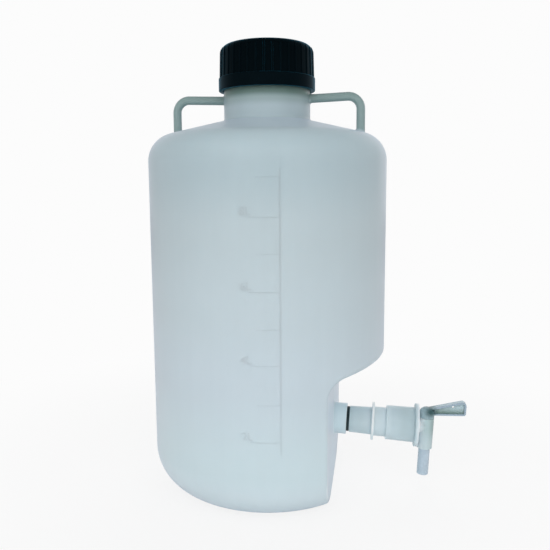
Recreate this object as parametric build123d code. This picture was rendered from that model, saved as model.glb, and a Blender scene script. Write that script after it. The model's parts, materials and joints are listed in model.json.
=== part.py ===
# Ten litre laboratory carboy: blow-moulded bottle with two bar handles, a screw cap and a quarter turn tap.
# Millimetres, +Z up, +X towards the tap. The origin is on the bottle's axis, on the face that it stands on.
import os
from math import cos, pi, radians, sin, tan

from build123d import *

# Bottle
wall = 2.8
body_radius = 106.5
base_round = 39.7
shoulder_round = 24.1
shoulder_slope = 13.9
neck_foot_z = 333.7
neck_radius = 38.6
neck_round = 2.5
neck_shown = 26.0
neck_length = 60.4
rim_round = 0.8
thread_root_radius = 36.0
step_cover = 2.2

# Flat recess that the tap stands in
recess_depth = 45.1
recess_top_z = 117.0
recess_roof_slope = 10.2
recess_round = 16.0
recess_edge_round = 4.5

# Handles, one on each side in the plane of the tap
handle_diameter = 7.5
handle_inset = 23.1
handle_cap_gap = 3.35
handle_corner_rise = 1.6
handle_round = 11.0
handle_root_round = 2.2

# Boss that takes the tap
tap_z = 59.9
tap_droop = 2.9
boss_radius = 14.2
boss_length = 11.8
boss_root_round = 1.5
stem_radius = 9.2
stem_clearance = 0.2

# Cap and its liner
skirt_clearance = 0.6
cap_top_wall = 2.7
skirt_wall = 2.3
cap_taper = 0.8
cap_edge_round = 6.5
cap_ring_lip = 1.5
cap_ring_height = 11.0
cap_ring_round = 0.6
rib_count = 36
rib_foot_width = 2.2
rib_crest_width = 1.3
rib_height = 0.7
rib_turn = 5.7
rib_end_gap = 3.0
liner_thickness = 1.8
liner_clearance = 0.9
seat_gap = 0.15

# Washer between the boss and the tap
washer_radius = 11.4
washer_thickness = 2.6
washer_clearance = 0.3
washer_round = 0.8

# Tail of the tap: a stem screwed into the boss, a tapered tube, a thin grip flange and a spigot
mould_round = 0.4
stem_reach = 1.3
stem_lead = 1.0
stem_bore = 7.0
tail_start_radius = 12.0
tail_end_radius = 12.6
tail_length = 20.6
tail_wall = 2.2
grip_radius = 17.3
grip_thickness = 2.1
spigot_radius = 13.3
spigot_shown = 11.0
spigot_hidden = 8.4

# Sleeve that takes the spigot, with a stop flange and the valve housing
fit_clearance = 0.06
sleeve_start_radius = 15.5
sleeve_end_radius = 15.9
sleeve_length = 25.9
chamber_radius = 12.2
chamber_round = 3.0
stop_radius = 19.5
stop_thickness = 3.5
stop_round = 0.6
valve_offset = 7.3
valve_radius = 6.8
valve_top = 8.3
valve_depth = 20.8
port_radius = 3.0

# Plug with its lever and outlet
plug_radius = 5.6
outlet_radius = 5.2
outlet_bore = 3.4
outlet_length = 25.2
snap_depth = 17.6
snap_height = 0.35
snap_width = 1.4
hub_gap = 0.2
hub_top = 17.8
hub_round = 5.2
lever_length = 34.3
lever_foot = 11.0
lever_foot_rise = 2.6
lever_head = 16.9
lever_head_rise = 10.3
lever_width = 6.4
lever_rim = 1.5
lever_web = 1.8
lever_top_round = 3.5
lever_low_round = 2.0
lever_hole_radius = 1.0
lever_hole_reach = 22.9
lever_hole_z = 20.4

# Ring seals: one on the spigot, two on the plug above and below its port
spigot_seal_section = 1.6
plug_seal_section = 1.1
plug_seal_height = 5.7
groove_play = 0.3
seal_play = 0.03

# Places that follow the bottle's side
recess_face_x = body_radius - recess_depth
handle_reach = body_radius - handle_inset

# Heights along the bottle
rim_z = neck_foot_z + neck_length
cap_foot_z = neck_foot_z + neck_shown
handle_neck_z = cap_foot_z - handle_cap_gap - handle_diameter / 2
handle_corner_z = handle_neck_z + handle_corner_rise
step_z = cap_foot_z + step_cover
liner_z = rim_z + seat_gap
cap_inside_z = liner_z + liner_thickness + seat_gap
cap_top_z = cap_inside_z + cap_top_wall
ring_top_z = cap_foot_z + cap_ring_height

# Radii of the cap
skirt_bore = neck_radius + skirt_clearance
cap_foot_radius = skirt_bore + skirt_wall
cap_top_radius = cap_foot_radius - cap_taper
cap_ring_radius = cap_foot_radius + cap_ring_lip

# Stations along the tap, from the recess face
stem_start_x = -wall - stem_reach
tail_x = boss_length + washer_thickness
grip_x = tail_x + tail_length
spigot_x = grip_x + grip_thickness
sleeve_x = spigot_x + spigot_shown
spigot_end_x = sleeve_x + spigot_hidden
spigot_seal_x = sleeve_x + spigot_hidden / 2
stop_x = sleeve_x + sleeve_length
stop_end_x = stop_x + stop_thickness
valve_x = stop_end_x + valve_offset
spigot_bore = spigot_radius + fit_clearance
plug_bore = plug_radius + fit_clearance
outlet_tip_z = -valve_depth - outlet_length

# The tap's own frame has X along its barrel, drooping outwards, and its origin on the recess face.
tap_place = Location((recess_face_x, 0, tap_z), (0, tap_droop, 0))
valve_shift = Location((valve_x, 0, 0))
valve_place = tap_place * valve_shift


def side_face(corners):
    """Face in the XZ plane. A corner is (x, z), or (x, z, rounding)."""
    points = [corner[:2] for corner in corners]
    radii = [corner[2] if len(corner) > 2 else 0 for corner in corners]
    return make_face(Plane.XZ * FilletPolyline(*points, radius=radii, close=True))


def turned(corners, axis):
    return revolve(side_face(corners), axis)


def rod(start, end, radius):
    """Cylinder along X."""
    return turned([(start, 0), (start, radius), (end, radius), (end, 0)], Axis.X)


def bottle_form(inset):
    """The bottle's outside, or its inside when the inset is the wall."""
    slope = radians(shoulder_slope)
    radius = body_radius - inset
    neck = neck_radius - inset
    root = thread_root_radius - inset
    foot_z = neck_foot_z + inset * tan(slope) - inset / cos(slope)
    shoulder_z = foot_z - (radius - neck) * tan(slope)
    step_foot_z = step_z - inset * tan(pi / 8)
    step_head_z = step_foot_z + neck_radius - thread_root_radius
    top_z = rim_z + inset
    form = turned(
        [
            (0, inset),
            (radius, inset, base_round - inset),
            (radius, shoulder_z, shoulder_round - inset),
            (neck, foot_z, neck_round + inset),
            (neck, step_foot_z),
            (root, step_head_z),
            (root, top_z),
            (0, top_z),
        ],
        Axis.Z,
    )
    cutter = recess_form(inset)
    cut = form - cutter
    return fillet(new_edges(form, cutter, combined=cut), recess_edge_round - inset)


def recess_form(inset):
    """Block that cuts the recess: an upright face, a rounded corner and a roof that rises outwards."""
    slope = radians(recess_roof_slope)
    face_x = recess_face_x - inset
    far_x = 2 * body_radius
    corner_z = recess_top_z + inset / cos(slope) - inset * tan(slope)
    far_z = corner_z + (far_x - face_x) * tan(slope)
    face = side_face(
        [(face_x, -base_round), (face_x, corner_z, recess_round + inset), (far_x, far_z), (far_x, -base_round)]
    )
    return extrude(face, amount=far_x, both=True)


def handle():
    """Bar from the neck out to a rounded corner and down through the shoulder, on the +X side."""
    shoulder_fall = (handle_reach - neck_radius) * tan(radians(shoulder_slope))
    start = (neck_radius - wall / 2, handle_neck_z)
    corner = (handle_reach, handle_corner_z)
    foot = (handle_reach, neck_foot_z - shoulder_fall - handle_diameter)
    path = Plane.XZ * FilletPolyline(start, corner, foot, radius=[handle_round])
    section = Plane(origin=path @ 0, z_dir=path % 0) * Circle(handle_diameter / 2)
    return sweep(section, path=path)


def blended(first, second, rounding):
    """Two solids fused, with a rounding where they meet."""
    fused = first + second
    return fillet(new_edges(first, second, combined=fused), rounding)


def carboy_body():
    outside = bottle_form(0)
    rim = outside.edges().group_by(Axis.Z)[-1]
    grip = handle()
    outside = blended(fillet(rim, rim_round), grip + mirror(grip, Plane.YZ), handle_root_round)
    boss = turned([(-wall, 0), (-wall, boss_radius), (boss_length, boss_radius, mould_round), (boss_length, 0)], Axis.X)
    outside = blended(outside, tap_place * boss, boss_root_round)
    hole = tap_place * rod(stem_start_x, boss_length, stem_radius + stem_clearance)
    return outside - bottle_form(wall) - hole


def cap_profile(extra):
    """The cap above its ring, with extra radius for the crests of the ribs."""
    return turned(
        [
            (0, ring_top_z),
            (cap_foot_radius + extra, ring_top_z),
            (cap_top_radius + extra, cap_top_z, cap_edge_round + extra),
            (0, cap_top_z),
        ],
        Axis.Z,
    )


def cap_ribs():
    """Upright ribs, cut from the crest profile so that they fade towards the rounded top."""
    root_radius = cap_top_radius - rib_height
    tip_radius = cap_foot_radius + 2 * rib_height
    foot = rib_foot_width / 2
    crest = rib_crest_width / 2
    corners = [(root_radius, -foot), (tip_radius, -crest), (tip_radius, crest), (root_radius, foot)]
    length = cap_top_z - rib_end_gap - ring_top_z
    blank = Pos(0, 0, ring_top_z) * extrude(Polygon(*corners, align=None), amount=length)
    return PolarLocations(0, rib_count, rib_turn) * (blank & cap_profile(rib_height))


def screw_cap():
    ring = turned(
        [
            (0, cap_foot_z),
            (cap_ring_radius, cap_foot_z, cap_ring_round),
            (cap_ring_radius, ring_top_z, cap_ring_round),
            (0, ring_top_z),
        ],
        Axis.Z,
    )
    inside = turned(
        [(0, cap_foot_z), (skirt_bore, cap_foot_z), (skirt_bore, cap_inside_z, liner_clearance), (0, cap_inside_z)],
        Axis.Z,
    )
    return (cap_profile(0) + ring - inside).fuse(*cap_ribs())


def cap_liner():
    radius = skirt_bore - liner_clearance
    top_z = liner_z + liner_thickness
    return turned([(0, liner_z), (radius, liner_z), (radius, top_z), (0, top_z)], Axis.Z)


def boss_washer():
    bore = stem_radius + washer_clearance
    washer = turned(
        [
            (boss_length, bore),
            (tail_x, bore),
            (tail_x, washer_radius, washer_round),
            (boss_length, washer_radius, washer_round),
        ],
        Axis.X,
    )
    return tap_place * washer


def seal_floor(bore, section):
    """Radius of the groove floor under a seal that fills a bore."""
    return bore - section - 2 * seal_play


def groove(x, bore, section):
    """Ring that cuts a seal's groove round X."""
    half = section / 2 + groove_play
    floor = seal_floor(bore, section)
    return turned([(x - half, floor), (x + half, floor), (x + half, 2 * bore), (x - half, 2 * bore)], Axis.X)


def seal(bore, section):
    """Ring seal round Z."""
    return Torus(bore - seal_play - section / 2, section / 2)


def tap_tail():
    tail = turned(
        [
            (stem_start_x, stem_bore),
            (stem_start_x, stem_radius, stem_lead),
            (tail_x, stem_radius),
            (tail_x, tail_start_radius, mould_round),
            (grip_x, tail_end_radius, mould_round),
            (grip_x, grip_radius, mould_round),
            (spigot_x, grip_radius, mould_round),
            (spigot_x, spigot_radius, mould_round),
            (spigot_end_x, spigot_radius, mould_round),
            (spigot_end_x, spigot_radius - tail_wall),
            (grip_x, tail_end_radius - tail_wall),
            (tail_x + tail_wall, tail_start_radius - tail_wall),
            (tail_x, stem_bore),
        ],
        Axis.X,
    )
    return tap_place * (tail - groove(spigot_seal_x, spigot_bore, spigot_seal_section))


def sleeve_seal():
    return tap_place * Location((spigot_seal_x, 0, 0), (0, 90, 0)) * seal(spigot_bore, spigot_seal_section)


def tap_barrel():
    barrel = turned(
        [
            (sleeve_x, 0),
            (sleeve_x, sleeve_start_radius, mould_round),
            (stop_x, sleeve_end_radius, mould_round),
            (stop_x, stop_radius, stop_round),
            (stop_end_x, stop_radius, stop_round),
            (stop_end_x, valve_radius, mould_round),
            (valve_x, valve_radius),
            (valve_x, 0),
        ],
        Axis.X,
    )
    housing = turned(
        [
            (0, -valve_depth),
            (valve_radius, -valve_depth, mould_round),
            (valve_radius, valve_top, mould_round),
            (0, valve_top),
        ],
        Axis.Z,
    )
    socket = rod(sleeve_x, spigot_end_x + seat_gap, spigot_bore)
    chamber = turned(
        [(spigot_end_x, 0), (spigot_end_x, chamber_radius), (stop_x, chamber_radius, chamber_round), (stop_x, 0)],
        Axis.X,
    )
    port = rod(spigot_end_x, valve_x, port_radius)
    seat = turned(
        [
            (0, -valve_depth),
            (plug_bore, -valve_depth),
            (plug_bore, -snap_depth - snap_width / 2),
            (plug_bore + snap_height, -snap_depth),
            (plug_bore, -snap_depth + snap_width / 2),
            (plug_bore, valve_top),
            (0, valve_top),
        ],
        Axis.Z,
    )
    return tap_place * (barrel + valve_shift * housing - socket - chamber - port - valve_shift * seat)


def lever():
    """Upright flag with a rim all round, rooted in the hub."""
    head_end = lever_head + lever_head_rise
    foot_end = lever_foot + lever_foot_rise
    outline = side_face(
        [
            (0, lever_foot),
            (lever_length, foot_end, lever_low_round),
            (lever_length, head_end, lever_top_round),
            (0, lever_head),
        ]
    )
    flag = extrude(outline, amount=lever_width / 2, both=True)
    pocket = Pos(0, -lever_web / 2, 0) * extrude(offset(outline, -lever_rim), amount=lever_width)
    hole = Pos(lever_hole_reach, 0, lever_hole_z) * Rot(90, 0, 0) * Cylinder(lever_hole_radius, lever_width)
    return flag - pocket - mirror(pocket, Plane.XZ) - hole


def tap_plug():
    hub_foot = valve_top + hub_gap
    plug = turned(
        [
            (0, outlet_tip_z),
            (outlet_radius, outlet_tip_z, mould_round),
            (outlet_radius, -valve_depth),
            (plug_radius, -valve_depth),
            (plug_radius, -snap_depth - snap_width / 2),
            (plug_radius + snap_height, -snap_depth),
            (plug_radius, -snap_depth + snap_width / 2),
            (plug_radius, hub_foot),
            (valve_radius, hub_foot, mould_round),
            (valve_radius, hub_top, hub_round),
            (0, hub_top),
        ],
        Axis.Z,
    )
    bore = turned([(0, outlet_tip_z), (outlet_bore, outlet_tip_z), (outlet_bore, port_radius), (0, port_radius)], Axis.Z)
    solid = plug + lever() - bore - rod(-2 * plug_radius, 0, port_radius)
    upright_groove = Rot(0, 90, 0) * groove(0, plug_bore, plug_seal_section)
    for height in (-plug_seal_height, plug_seal_height):
        solid -= Pos(0, 0, height) * upright_groove
    return valve_place * solid


def plug_seal(height):
    return valve_place * Pos(0, 0, height) * seal(plug_bore, plug_seal_section)


pieces = {
    "carboy_body": carboy_body(),
    "screw_cap": screw_cap(),
    "cap_liner": cap_liner(),
    "boss_washer": boss_washer(),
    "tap_tail": tap_tail(),
    "sleeve_seal": sleeve_seal(),
    "tap_barrel": tap_barrel(),
    "tap_plug": tap_plug(),
    "plug_lower_seal": plug_seal(-plug_seal_height),
    "plug_upper_seal": plug_seal(plug_seal_height),
}

os.makedirs("parts", exist_ok=True)
for name, piece in pieces.items():
    export_step(piece, f"parts/{name}.step")
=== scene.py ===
# Ten litre laboratory carboy with a tap: the finishes and the fine moulded detail around its fixed parts.
import json
from math import atan2, ceil, cos, hypot, pi, radians, sin, tau

import bmesh
import bpy
from mathutils import Euler, Matrix, Vector


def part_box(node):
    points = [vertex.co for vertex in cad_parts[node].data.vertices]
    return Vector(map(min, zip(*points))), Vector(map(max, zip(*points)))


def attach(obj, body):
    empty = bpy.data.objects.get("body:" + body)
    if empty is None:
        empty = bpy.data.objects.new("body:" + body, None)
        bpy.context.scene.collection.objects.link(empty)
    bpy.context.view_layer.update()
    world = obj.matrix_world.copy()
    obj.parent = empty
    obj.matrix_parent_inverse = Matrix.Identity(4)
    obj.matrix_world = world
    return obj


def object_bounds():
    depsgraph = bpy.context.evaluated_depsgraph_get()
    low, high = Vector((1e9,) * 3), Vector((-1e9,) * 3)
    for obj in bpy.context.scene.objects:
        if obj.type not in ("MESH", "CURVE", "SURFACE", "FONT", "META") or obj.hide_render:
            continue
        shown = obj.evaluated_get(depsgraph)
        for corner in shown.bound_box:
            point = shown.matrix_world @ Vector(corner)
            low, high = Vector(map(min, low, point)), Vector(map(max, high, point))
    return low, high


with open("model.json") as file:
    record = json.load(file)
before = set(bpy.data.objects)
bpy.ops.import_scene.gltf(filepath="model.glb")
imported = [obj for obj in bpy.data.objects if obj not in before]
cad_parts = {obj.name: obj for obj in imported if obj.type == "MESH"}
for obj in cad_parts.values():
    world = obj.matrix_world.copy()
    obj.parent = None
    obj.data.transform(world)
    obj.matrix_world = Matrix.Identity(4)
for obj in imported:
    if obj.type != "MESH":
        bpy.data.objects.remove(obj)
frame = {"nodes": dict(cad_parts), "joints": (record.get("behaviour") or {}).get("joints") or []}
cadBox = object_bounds()
nodes = frame["nodes"]
joints = {joint["name"]: joint for joint in frame["joints"]}
print("frame loaded with", len(nodes), "parts")


def tone(red, green, blue):
    # a colour as a picture editor shows it, turned into the linear values that the nodes use
    share = [value / 255 for value in (red, green, blue)]
    return (*[s / 12.92 if s < 0.04 else ((s + 0.055) / 1.055) ** 2.4 for s in share], 1.0)


class Wire:
    # an output socket, so that sums on it read as plain sums
    def __init__(self, graph, socket):
        self.graph = graph
        self.socket = socket

    def sum(self, operation, first, second):
        return self.graph.node("ShaderNodeMath", {"operation": operation}, {0: first, 1: second})

    def __add__(self, other):
        return self.sum("ADD", self, other)

    def __radd__(self, other):
        return self.sum("ADD", other, self)

    def __sub__(self, other):
        return self.sum("SUBTRACT", self, other)

    def __rsub__(self, other):
        return self.sum("SUBTRACT", other, self)

    def __mul__(self, other):
        return self.sum("MULTIPLY", self, other)

    def __rmul__(self, other):
        return self.sum("MULTIPLY", other, self)

    def __truediv__(self, other):
        return self.sum("DIVIDE", self, other)

    def __abs__(self):
        return self.sum("ABSOLUTE", self, 0.0)


class Graph:
    # one node tree, with one method for every node that isn't a sum
    def __init__(self, tree):
        self.tree = tree

    def node(self, kind, settings=None, values=None, out=0):
        made = self.tree.nodes.new(kind)
        for name, value in (settings or {}).items():
            if name == "stops":
                self.setStops(made.color_ramp, value)
            else:
                setattr(made, name, value)
        for name, value in (values or {}).items():
            self.feed(made.inputs[name], value)
        return Wire(self, made.outputs[out])

    def feed(self, target, value):
        if isinstance(value, Wire):
            self.tree.links.new(value.socket, target)
        else:
            target.default_value = value

    def setStops(self, ramp, stops):
        ramp.interpolation = "EASE"
        while len(ramp.elements) < len(stops):
            ramp.elements.new(1.0)
        for element, (place, colour) in zip(ramp.elements, stops):
            element.position = place
            element.color = colour

    def mix(self, share, first, second):
        # a colour between two colours
        return self.node("ShaderNodeMix", {"data_type": "RGBA"}, {0: share, 6: first, 7: second}, 2)

    def tint(self, colour, share):
        # a colour made lighter or darker by a share that changes over the surface
        grey = self.node("ShaderNodeCombineColor", None, {0: share, 1: share, 2: share})
        settings = {"data_type": "RGBA", "blend_type": "MULTIPLY"}
        return self.node("ShaderNodeMix", settings, {0: 1.0, 6: colour, 7: grey}, 2)

    def ease(self, value, start, end):
        # 0 before start, 1 after end, smooth between them
        settings = {"interpolation_type": "SMOOTHSTEP"}
        return self.node("ShaderNodeMapRange", settings, {"Value": value, "From Min": start, "From Max": end})

    def ramp(self, value, tones):
        # colours that follow one another along a value
        first = tones[0][0]
        span = tones[-1][0] - first
        stops = [((place - first) / span, tone(*colour)) for place, colour in tones]
        return self.node("ShaderNodeValToRGB", {"stops": stops}, {0: (value - first) / span})

    def axes(self, vector):
        split = self.node("ShaderNodeSeparateXYZ", None, {"Vector": vector})
        return [Wire(self, socket) for socket in split.socket.node.outputs]

    def measure(self, operation, first, second=None):
        # the length of a vector, or the distance between two
        values = {0: first} if second is None else {0: first, 1: second}
        return self.node("ShaderNodeVectorMath", {"operation": operation}, values, 1)


class Finish(Graph):
    # one material on the Principled shader
    def __init__(self, name, slot, constants):
        self.material = bpy.data.materials.new(name)
        self.material.use_nodes = True
        super().__init__(self.material.node_tree)
        self.slot = slot
        self.shader = self.tree.nodes["Principled BSDF"]
        self.place = self.node("ShaderNodeTexCoord", None, None, 3)
        for name, value in constants.items():
            self.shader.inputs[name].default_value = value

    def show(self, **looks):
        for name, value in looks.items():
            self.feed(self.shader.inputs[name.replace("_", " ")], value)

    def within(self, origin, turn, size=(1, 1, 1)):
        # the surface's place as seen from another origin, in metres or in units of size
        values = {"Vector": self.place, "Location": origin, "Rotation": turn, "Scale": size}
        return self.node("ShaderNodeMapping", {"vector_type": "TEXTURE"}, values)

    def outward(self):
        # the surface's distance from the bottle's axis
        level = self.node("ShaderNodeVectorMath", {"operation": "MULTIPLY"}, {0: self.place, 1: (1, 1, 0)})
        return self.measure("LENGTH", level)

    def clouds(self, size, place=None, detail=2.0):
        # soft noise, 0 to 1, with patches of about this size in metres
        values = {"Vector": place or self.place, "Scale": 1 / size, "Detail": detail}
        return self.node("ShaderNodeTexNoise", None, values)

    def relief(self, height, depth, strength=1.0, under=None):
        values = {"Height": height, "Distance": depth, "Strength": strength}
        if under:
            values["Normal"] = under
        return self.node("ShaderNodeBump", None, values)


def uneven(middle, spread, noise):
    # a value that wanders round its middle with a noise of 0 to 1
    return middle - spread / 2 + spread * noise


# Where the tap turns and how wide the bottle is, read from the fixed parts
tapTurn = joints["tap_turn"]
valveCentre = Vector(tapTurn["pos_m"])
valveTilt = (0, atan2(tapTurn["axis"][0], tapTurn["axis"][2]), 0)
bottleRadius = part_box("carboy_body")[1].x

# The bottle: milky moulded plastic, with light and shade painted into its colour: paler towards its foot,
# greyer towards the cap and darkest on the neck just under it, where shade falls
bottleLook = {
    "tones": (
        (0.000, (218, 235, 243)),
        (0.020, (217, 234, 242)),
        (0.045, (206, 225, 232)),
        (0.120, (200, 215, 224)),
        (0.180, (195, 210, 217)),
        (0.240, (190, 205, 211)),
        (0.290, (179, 197, 204)),
        (0.320, (182, 201, 208)),
        (0.343, (179, 196, 203)),
        # painted shade on the neck just under the cap
        (0.350, (156, 175, 178)),
        (0.356, (96, 121, 115)),
        (0.359, (86, 108, 102)),
    ),
    # painted shade: the solid handles are coloured darker, standing in for the shade on them
    "handle": (138, 160, 159),
    "handleShare": 0.9,
    "handleOutward": (0.0388, 0.0400),
    "shoulderFall": 0.2475,
    "aboveShoulder": (0.3438, 0.3468),
    # the boss and the face of the recess lie full in the light
    "boss": (222, 240, 248),
    "bossPlace": (0.0700, 0.0, 0.0594),
    "bossReach": (0.0200, 0.0145),
    "face": (232, 246, 252),
    "faceInner": (0.0598, 0.0610),
    "faceOuter": (0.0622, 0.0616),
    "faceSide": (0.0868, 0.0848),
    "faceTop": (0.116, 0.104),
    "rough": 0.36,
    "roughSpread": 0.08,
    "cloud": 0.055,
    "cloudTint": 0.04,
    "streak": 0.008,
    "streakStretch": 14,
    "streakTint": 0.03,
    "waveDepth": 0.0009,
    "grain": 0.0011,
    "grainDepth": 0.00006,
}


def makeBottlePlastic():
    look = bottleLook
    shine = {
        "IOR": 1.5,
        "Subsurface Weight": 0.25,
        "Subsurface Radius": (0.8, 0.95, 1.0),
        "Subsurface Scale": 0.006,
        "Sheen Weight": 0.3,
        "Sheen Roughness": 0.3,
        "Sheen Tint": tone(208, 220, 255),
        "Coat Weight": 0.3,
        "Coat Roughness": 0.22,
    }
    finish = Finish("bottlePlastic", "bottle_plastic", shine)
    along, across, height = finish.axes(finish.place)
    colour = finish.ramp(height, look["tones"])
    stretched = finish.within((0, 0, 0), (0, 0, 0), (1, 1, look["streakStretch"]))
    streaks = finish.clouds(look["streak"], stretched)
    clouds = finish.clouds(look["cloud"])
    outward = finish.outward()
    # painted shade mask over the handles
    handle = finish.ease(outward, *look["handleOutward"])
    handle = handle * finish.ease(height + look["shoulderFall"] * outward, *look["aboveShoulder"])
    colour = finish.mix(look["handleShare"] * handle, colour, tone(*look["handle"]))
    apart = finish.measure("DISTANCE", finish.place, look["bossPlace"])
    colour = finish.mix(finish.ease(apart, *look["bossReach"]), colour, tone(*look["boss"]))
    face = finish.ease(along, *look["faceInner"]) * finish.ease(abs(across), *look["faceSide"])
    face = face * finish.ease(along, *look["faceOuter"]) * finish.ease(height, *look["faceTop"])
    colour = finish.mix(face, colour, tone(*look["face"]))
    mottle = uneven(uneven(1.0, look["cloudTint"], clouds), look["streakTint"], streaks)
    grain = finish.clouds(look["grain"], None, 3.0)
    waves = finish.relief(clouds + 0.35 * streaks, look["waveDepth"], 0.35)
    finish.show(
        Base_Color=finish.tint(colour, mottle),
        Roughness=uneven(look["rough"], look["roughSpread"], clouds),
        Normal=finish.relief(grain, look["grainDepth"], 0.5, waves),
    )
    return finish


# The cap: near black plastic, satin, with a painted highlight that makes the rib crests a little paler
capLook = {
    "colour": (4, 9, 12),
    # painted highlight on the rib crests
    "crestHighlight": (9, 18, 23),
    "crestHighlightOutward": (0.0405, 0.0428),
    "rough": 0.42,
    "roughSpread": 0.1,
    "cloud": 0.012,
    "grain": 0.0007,
    "grainDepth": 0.00004,
}


def makeCapPlastic():
    look = capLook
    shine = {
        "IOR": 1.12,
        "Specular IOR Level": 0.5,
        "Specular Tint": tone(150, 225, 250),
        "Sheen Weight": 0.45,
        "Sheen Roughness": 0.3,
        "Sheen Tint": tone(40, 190, 235),
    }
    finish = Finish("capPlastic", "cap_plastic", shine)
    clouds = finish.clouds(look["cloud"])
    grain = finish.clouds(look["grain"], None, 3.0)
    crestHighlight = finish.ease(finish.outward(), *look["crestHighlightOutward"]) * uneven(0.5, 0.5, clouds)
    finish.show(
        Base_Color=finish.mix(crestHighlight, tone(*look["colour"]), tone(*look["crestHighlight"])),
        Roughness=uneven(look["rough"], look["roughSpread"], clouds),
        Normal=finish.relief(grain, look["grainDepth"], 0.45),
    )
    return finish


# What the small mouldings of the tap share: a slight mottle, uneven gloss and a fine grain
moulding = {"mottle": 0.05, "roughSpread": 0.08, "grain": 0.0008, "grainDepth": 0.00003, "grainShare": 0.4}


def showMoulding(finish, look, colour):
    clouds = finish.clouds(look["cloud"])
    grain = finish.clouds(moulding["grain"], None, 3.0)
    finish.show(
        Base_Color=finish.tint(colour, uneven(1.0, moulding["mottle"], clouds)),
        Roughness=uneven(look["rough"], moulding["roughSpread"], clouds),
        Normal=finish.relief(grain, moulding["grainDepth"], moulding["grainShare"]),
    )


# The tap's fixed mouldings: pale plastic, with light and shade painted along the axis: greyer where the walls
# lie one inside the other, bright bands painted on the grip flange and where the stop flange meets the
# housing, and darker past the valve's centre
tapLook = {
    "tones": (
        (-0.0713, (194, 213, 219)),
        (-0.0640, (201, 218, 224)),
        (-0.0508, (208, 223, 229)),
        (-0.0490, (250, 254, 255)),
        (-0.0468, (214, 229, 235)),
        (-0.0370, (211, 227, 234)),
        (-0.0300, (198, 216, 223)),
        (-0.0200, (187, 206, 212)),
        (-0.0110, (185, 204, 210)),
        (-0.0070, (236, 244, 249)),
        (0.0000, (184, 207, 210)),
        (0.0068, (150, 173, 172)),
    ),
    # painted light: the tap's lower side is mixed towards this paler colour
    "under": (212, 229, 236),
    "underLightShare": 0.55,
    "underLightRise": (0.002, -0.016),
    "rough": 0.3,
    "cloud": 0.009,
}


def makeTapPlastic():
    look = tapLook
    shine = {
        "IOR": 1.49,
        "Subsurface Weight": 0.2,
        "Subsurface Radius": (0.8, 0.95, 1.0),
        "Subsurface Scale": 0.004,
    }
    finish = Finish("tapPlastic", "tap_plastic", shine)
    along, _, height = finish.axes(finish.within(valveCentre, valveTilt))
    colour = finish.ramp(along, look["tones"])
    under = look["underLightShare"] * finish.ease(height, *look["underLightRise"])
    showMoulding(finish, look, finish.mix(under, colour, tone(*look["under"])))
    return finish


# The plug with its lever and outlet: a cooler tone, darker towards the hub, with painted shade where the
# lever runs thick into the hub and along the foot of the lever's web
plugLook = {
    "outlet": (186, 203, 216),
    "hub": (159, 183, 191),
    "hubRise": (-0.0208, 0.008),
    "rootShade": (66, 96, 99),
    # painted shade where the lever's thick root meets the hub
    "rootShadePlace": (0.0032, 0.0148),
    "rootShadeWidth": 1.2,
    "rootShadeReach": (0.0072, 0.0006),
    "leverStart": (0.0062, 0.0085),
    "rim": (160, 178, 192),
    "webTop": (184, 205, 211),
    # painted shade along the foot of the lever's web
    "webFootShade": (120, 146, 137),
    "webRise": (0.0125, 0.0215),
    "webHalf": (0.0011, 0.0017),
    "rough": 0.27,
    "cloud": 0.007,
}


def makePlugPlastic():
    look = plugLook
    shine = {
        "IOR": 1.49,
        "Subsurface Weight": 0.15,
        "Subsurface Radius": (0.8, 0.95, 1.0),
        "Subsurface Scale": 0.003,
    }
    finish = Finish("plugPlastic", "plug_plastic", shine)
    along, across, height = finish.axes(finish.within(valveCentre, valveTilt))
    web = finish.mix(finish.ease(height, *look["webRise"]), tone(*look["webFootShade"]), tone(*look["webTop"]))
    lever = finish.mix(finish.ease(abs(across), *look["webHalf"]), web, tone(*look["rim"]))
    body = finish.mix(finish.ease(height, *look["hubRise"]), tone(*look["outlet"]), tone(*look["hub"]))
    colour = finish.mix(finish.ease(along, *look["leverStart"]), body, lever)
    middle, rise = look["rootShadePlace"]
    offset = {0: (along - middle) / look["rootShadeWidth"], 2: height - rise}
    apart = finish.node("ShaderNodeCombineXYZ", None, offset)
    rootShade = finish.ease(finish.measure("LENGTH", apart), *look["rootShadeReach"])
    showMoulding(finish, look, finish.mix(rootShade, colour, tone(*look["rootShade"])))
    return finish


# Rubber of the washer and the ring seals, and the foam of the cap's liner
rubberLook = {
    "washer": (20, 42, 46),
    "seal": (34, 36, 38),
    "bloom": (58, 74, 76),
    "bloomShare": 0.22,
    "rough": 0.675,
}
foamLook = {"colour": (232, 236, 234), "pore": 0.0009, "rough": 0.8}


def makeRubber(name, slot, colour):
    finish = Finish(name, slot, {"IOR": 1.52, "Sheen Weight": 0.1, "Sheen Roughness": 0.5})
    clouds = finish.clouds(0.003, None, 4.0)
    bloom = rubberLook["bloomShare"] * finish.ease(clouds, 0.45, 0.75)
    finish.show(
        Base_Color=finish.mix(bloom, tone(*colour), tone(*rubberLook["bloom"])),
        Roughness=uneven(rubberLook["rough"], 0.15, clouds),
        Normal=finish.relief(finish.clouds(0.0006, None, 3.0), 0.00005, 0.6),
    )
    return finish


def makeFoam():
    finish = Finish("linerFoam", "liner_foam", {"Subsurface Weight": 0.1, "Subsurface Scale": 0.002})
    pores = finish.node("ShaderNodeTexVoronoi", None, {"Vector": finish.place, "Scale": 1 / foamLook["pore"]})
    finish.show(
        Base_Color=finish.tint(tone(*foamLook["colour"]), uneven(0.98, 0.08, pores)),
        Roughness=uneven(foamLook["rough"], 0.1, pores),
        Normal=finish.relief(pores, 0.00008, 0.7),
    )
    return finish


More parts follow.
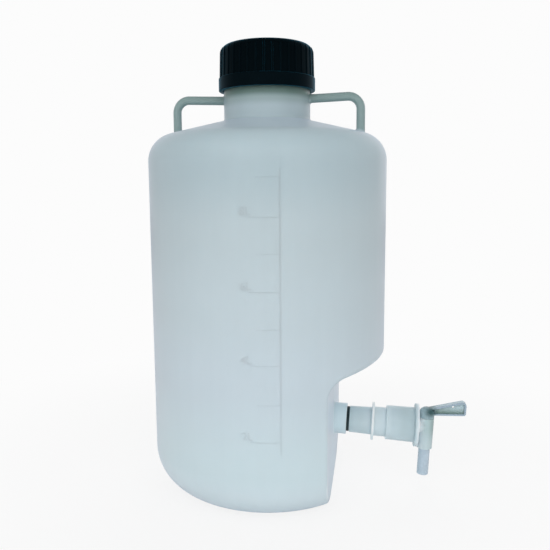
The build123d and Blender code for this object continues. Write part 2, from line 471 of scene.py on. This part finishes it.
bottlePlastic = makeBottlePlastic()
capPlastic = makeCapPlastic()
tapPlastic = makeTapPlastic()
plugPlastic = makePlugPlastic()
washerRubber = makeRubber("washerRubber", "washer_rubber", rubberLook["washer"])
sealRubber = makeRubber("sealRubber", "seal_rubber", rubberLook["seal"])
linerFoam = makeFoam()
finishOf = {
    "carboy_body": bottlePlastic,
    "screw_cap": capPlastic,
    "cap_liner": linerFoam,
    "boss_washer": washerRubber,
    "tap_tail": tapPlastic,
    "tap_barrel": tapPlastic,
    "sleeve_seal": sealRubber,
    "tap_plug": plugPlastic,
    "plug_lower_seal": sealRubber,
    "plug_upper_seal": sealRubber,
}
for nodeName, finish in finishOf.items():
    nodes[nodeName].data.materials.clear()
    nodes[nodeName].data.materials.append(finish.material)
print("finishes given to", len(finishOf), "parts")


def addPiece(name, shape, finish, body, smooth=35):
    # turns a finished bmesh into an object that rides on its body
    bmesh.ops.recalc_face_normals(shape, faces=shape.faces)
    mesh = bpy.data.meshes.new(name)
    shape.to_mesh(mesh)
    shape.free()
    mesh.shade_smooth()
    mesh.set_sharp_from_angle(angle=radians(smooth))
    mesh.materials.append(finish.material)
    piece = bpy.data.objects.new(name, mesh)
    bpy.context.scene.collection.objects.link(piece)
    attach(piece, body)
    print(name, "has", len(mesh.polygons), "faces")
    return piece


# The graduation moulded on the bottle's front: a tick for each litre, with a number at every second one
scale = {
    "lineTurn": -76.0,
    "lineFoot": 0.064,
    "lineTop": 0.289,
    "tickHeights": (0.0740, 0.1045, 0.1365, 0.1653, 0.1947, 0.2244, 0.2524, 0.2827),
    "firstLitre": 2,
    "longTurn": 13.1,
    "shortTurn": 10.0,
    "width": 0.0008,
    "raise": 0.00007,
    "sink": 0.0003,
    "edge": 0.00028,
    "degreesPerStep": 1.5,
    "numberHeight": 0.0063,
    "numberTurn": 12.2,
    "numberGap": 0.0012,
    "numberEdge": 0.00005,
    "capitalShare": 0.7,
}


def raisedBar(shape, low, high, start, end):
    # a bar that lies on the bottle's wall, between two heights and two angles round it
    inner = bottleRadius - scale["sink"]
    outer = bottleRadius + scale["raise"]
    edge = scale["edge"]
    corners = ((inner, low), (outer, low + edge), (outer, high - edge), (inner, high))
    made = [shape.verts.new((radius, 0, height)) for radius, height in corners]
    bmesh.ops.rotate(shape, verts=made, matrix=Matrix.Rotation(radians(start), 3, "Z"))
    face = shape.faces.new(made)
    bmesh.ops.spin(
        shape,
        geom=[face, *face.edges, *made],
        axis=(0, 0, 1),
        cent=(0, 0, 0),
        angle=radians(end - start),
        steps=max(1, ceil((end - start) / scale["degreesPerStep"])),
        use_duplicate=False,
    )


def makeScale():
    shape = bmesh.new()
    halfWidth = scale["width"] / 2
    halfTurn = halfWidth / bottleRadius * 360 / tau
    line = scale["lineTurn"]
    raisedBar(shape, scale["lineFoot"], scale["lineTop"], line - halfTurn, line + halfTurn)
    for count, height in enumerate(scale["tickHeights"]):
        reach = scale["shortTurn"] if count % 2 else scale["longTurn"]
        raisedBar(shape, height - halfWidth, height + halfWidth, line - reach, line - halfTurn)
    addPiece("scaleLines", shape, bottlePlastic, "bottle")


def addNumber(shape, text, turn, foot):
    # one number, set flat first and then bent round the wall
    curve = bpy.data.curves.new("number", "FONT")
    curve.body = text
    curve.size = scale["numberHeight"] / scale["capitalShare"]
    curve.align_x = "RIGHT"
    curve.extrude = (scale["raise"] + scale["sink"]) / 2 - scale["numberEdge"]
    curve.bevel_depth = scale["numberEdge"]
    curve.resolution_u = 4
    holder = bpy.data.objects.new("number", curve)
    bpy.context.scene.collection.objects.link(holder)
    flatMesh = bpy.data.meshes.new_from_object(holder)
    before = len(shape.verts)
    shape.from_mesh(flatMesh)
    shape.verts.ensure_lookup_table()
    bpy.data.objects.remove(holder)
    bpy.data.curves.remove(curve)
    middle = bottleRadius + (scale["raise"] - scale["sink"]) / 2
    for vert in shape.verts[before:]:
        angle = radians(turn) + vert.co.x / bottleRadius
        radius = middle + vert.co.z
        vert.co = (radius * cos(angle), radius * sin(angle), foot + vert.co.y)


def makeNumbers():
    shape = bmesh.new()
    turn = scale["lineTurn"] - scale["numberTurn"]
    for count, height in enumerate(scale["tickHeights"]):
        if count % 2 == 0:
            litres = f"{scale['firstLitre'] + count}L"
            addNumber(shape, litres, turn, height + scale["width"] / 2 + scale["numberGap"])
    addPiece("scaleNumbers", shape, bottlePlastic, "bottle", 50)


# The screw threads: one ridge on the neck, and one inside the cap that runs half a pitch above it
thread = {
    "pitch": 0.006,
    "stepsPerTurn": 72,
    "fadeSteps": 12,
    "neckRoot": 0.0358,
    "neckCrest": 0.0384,
    "neckStart": 0.3685,
    "neckTurns": 3.3,
    "capRoot": 0.0394,
    "capCrest": 0.0371,
    "capStart": 0.3655,
    "capTurns": 3.9,
    "footWidth": 0.0029,
    "crestWidth": 0.0013,
    "wind": 40,
    "leastGrown": 0.02,
}


def makeThread(name, root, crest, start, turns, finish, body):
    shape = bmesh.new()
    steps = int(turns * thread["stepsPerTurn"])
    foot = thread["footWidth"] / 2
    tip = thread["crestWidth"] / 2
    rise = start + thread["pitch"] * thread["wind"] / 360
    corners = ((root, -foot), (crest, -tip), (crest, tip), (root, foot))
    made = [shape.verts.new((radius, 0, rise + height)) for radius, height in corners]
    bmesh.ops.rotate(shape, verts=made, matrix=Matrix.Rotation(radians(thread["wind"]), 3, "Z"))
    face = shape.faces.new(made)
    bmesh.ops.spin(
        shape,
        geom=[face, *face.edges, *made],
        axis=(0, 0, 1),
        cent=(0, 0, 0),
        angle=steps * tau / thread["stepsPerTurn"],
        dvec=(0, 0, thread["pitch"] / thread["stepsPerTurn"]),
        steps=steps,
        use_duplicate=False,
    )
    shape.verts.index_update()
    for vert in shape.verts:
        step = vert.index // len(corners)  # the operator adds one ring of corners for each step
        grown = min(1, step / thread["fadeSteps"], (steps - step) / thread["fadeSteps"])
        radius = hypot(vert.co.x, vert.co.y)
        wanted = root + (radius - root) * max(grown, thread["leastGrown"])
        vert.co.x *= wanted / radius
        vert.co.y *= wanted / radius
    addPiece(name, shape, finish, body, 25)


# The mould's parting line, a hair of plastic in the plane of the handles
seam = {"halfWidth": 0.00022, "raise": 0.00012, "heart": (0, 0, 0.15)}


def makeSeam():
    shape = bmesh.new()
    shape.from_mesh(nodes["carboy_body"].data)
    bmesh.ops.remove_doubles(shape, verts=shape.verts, dist=1e-6)
    for side in (1, -1):
        everything = [*shape.verts, *shape.edges, *shape.faces]
        bmesh.ops.bisect_plane(
            shape,
            geom=everything,
            dist=1e-7,
            plane_co=(0, side * seam["halfWidth"], 0),
            plane_no=(0, side, 0),
            clear_outer=True,
        )
    heart = Vector(seam["heart"])
    shape.normal_update()
    hidden = [face for face in shape.faces if face.normal.dot(face.calc_center_median() - heart) < 0]
    bmesh.ops.delete(shape, geom=hidden, context="FACES")
    bmesh.ops.dissolve_degenerate(shape, edges=shape.edges, dist=1e-7)
    bmesh.ops.solidify(shape, geom=shape.faces, thickness=-seam["raise"])
    addPiece("bottleSeam", shape, bottlePlastic, "bottle")


makeScale()
makeNumbers()
makeThread(
    "neckThread", thread["neckRoot"], thread["neckCrest"], thread["neckStart"], thread["neckTurns"],
    bottlePlastic, "bottle",
)
makeThread(
    "capThread", thread["capRoot"], thread["capCrest"], thread["capStart"], thread["capTurns"],
    capPlastic, "cap",
)
makeSeam()

# A pale floor, an even white surround and three soft lamps
stage = {
    "floorRadius": 6.0,
    "floorSides": 96,
    "floorDrop": 0.0004,
    "floorColour": (244, 244, 244),
    "seenWhite": (252, 252, 252),
    "nearShare": 0.86,
    "nearReach": 0.14,
    "farReach": 0.5,
    "zenith": 0.52,
    "horizon": 0.98,
    "frontDim": 0.3,
    "frontSpan": (0.2, -0.8),
    "sideDim": 0.5,
    "sideSpan": (0.35, 0.9),
    "glossFront": 0.03,
    "glossDepth": (-0.35, 0.25),
    "glossHeight": (0.9, 0.35),
}
lamps = (
    # name, azimuth, elevation, distance, width and height, power
    ("frontLamp", -22, 30, 1.6, (1.2, 1.2), 7.5),
    ("sideLamp", 34, 26, 1.6, (1.0, 1.0), 5.8),
    ("backLamp", 180, 40, 1.8, (1.6, 1.0), 8.0),
)
view = {
    "side": 550,
    "focal": 651.9,
    "place": (0.0960, -0.5927, 0.2745),
    "heading": 8.63,
    "pitch": 7.62,
    "roll": -0.40,
}


def makeFloor():
    shape = bmesh.new()
    bmesh.ops.create_circle(shape, cap_ends=True, segments=stage["floorSides"], radius=stage["floorRadius"])
    bmesh.ops.translate(shape, verts=shape.verts, vec=(0, 0, -stage["floorDrop"]))
    mesh = bpy.data.meshes.new("floor")
    shape.to_mesh(mesh)
    shape.free()
    floor = bpy.data.objects.new("floor", mesh)
    bpy.context.scene.collection.objects.link(floor)
    material = bpy.data.materials.new("floorWhite")
    material.use_nodes = True
    graph = Graph(material.node_tree)
    graph.tree.nodes.clear()
    matte = graph.node("ShaderNodeBsdfDiffuse", None, {"Color": tone(*stage["floorColour"])})
    white = graph.node("ShaderNodeEmission", None, {"Color": tone(*stage["seenWhite"])})
    clear = graph.node("ShaderNodeBsdfTransparent")
    rays = graph.node("ShaderNodeLightPath")
    seen = Wire(graph, rays.socket.node.outputs["Is Camera Ray"])
    behind = graph.node("ShaderNodeNewGeometry", None, None, "Backfacing")
    # the floor shows a faint shadow near the bottle and turns to even white further out
    place = graph.node("ShaderNodeTexCoord", None, None, 3)
    far = graph.ease(graph.measure("LENGTH", place), stage["nearReach"], stage["farReach"])
    share = stage["nearShare"] + (1 - stage["nearShare"]) * far
    top = graph.node("ShaderNodeMixShader", None, {0: share * seen, 1: matte, 2: white})
    whole = graph.node("ShaderNodeMixShader", None, {0: behind, 1: top, 2: clear})
    graph.node("ShaderNodeOutputMaterial", None, {"Surface": whole}, slice(0))
    mesh.materials.append(material)


def makeSurround():
    world = bpy.data.worlds.new("surround")
    bpy.context.scene.world = world
    world.use_nodes = True
    graph = Graph(world.node_tree)
    graph.tree.nodes.clear()
    across, depth, height = graph.axes(graph.node("ShaderNodeTexCoord"))
    level = stage["horizon"] + (stage["zenith"] - stage["horizon"]) * graph.ease(height, 0.0, 1.0)
    level = level * (1 - stage["frontDim"] * graph.ease(depth, *stage["frontSpan"]))
    level = level * (1 - stage["sideDim"] * graph.ease(abs(across), *stage["sideSpan"]))
    rays = graph.node("ShaderNodeLightPath").socket.node.outputs
    # what mirrors the front or the ceiling mirrors a dark room, as in the photo
    glossy = Wire(graph, rays["Is Glossy Ray"])
    bright = graph.ease(depth, *stage["glossDepth"]) * graph.ease(height, *stage["glossHeight"])
    level = level * (1 - (1 - stage["glossFront"]) * glossy * (1 - bright))
    seen = Wire(graph, rays["Is Camera Ray"])
    through = Wire(graph, rays["Is Transmission Ray"])
    white = tone(*stage["seenWhite"])
    light = graph.node("ShaderNodeBackground", None, {"Color": (1, 1, 1, 1), "Strength": level})
    shown = graph.node("ShaderNodeBackground", None, {"Color": white, "Strength": 1.0})
    whole = graph.node("ShaderNodeMixShader", None, {0: seen + through, 1: light, 2: shown})
    graph.node("ShaderNodeOutputWorld", None, {"Surface": whole}, slice(0))


def makeLamps():
    middle = (cadBox[0] + cadBox[1]) / 2
    for name, azimuth, elevation, distance, (width, height), power in lamps:
        light = bpy.data.lights.new(name, "AREA")
        light.shape = "RECTANGLE"
        light.size = width
        light.size_y = height
        light.energy = power
        lamp = bpy.data.objects.new(name, light)
        lamp.visible_glossy = False
        bpy.context.scene.collection.objects.link(lamp)
        turn = radians(azimuth)
        rise = radians(elevation)
        way = Vector((sin(turn) * cos(rise), -cos(turn) * cos(rise), sin(rise)))
        lamp.location = middle + way * distance
        lamp.rotation_euler = way.to_track_quat("Z", "Y").to_euler()


def makeCamera():
    camera = bpy.data.objects.new("camera", bpy.data.cameras.new("camera"))
    bpy.context.scene.collection.objects.link(camera)
    camera.data.sensor_width = 36
    camera.data.lens = 36 * view["focal"] / view["side"]
    camera.location = view["place"]
    aim = Euler((pi / 2 - radians(view["pitch"]), 0, radians(view["heading"]))).to_matrix()
    camera.rotation_euler = (aim @ Matrix.Rotation(radians(view["roll"]), 3, "Z")).to_euler()
    bpy.context.scene.camera = camera


makeFloor()
makeSurround()
makeLamps()
makeCamera()
bpy.context.scene.view_settings.view_transform = "Standard"
print("stage ready")
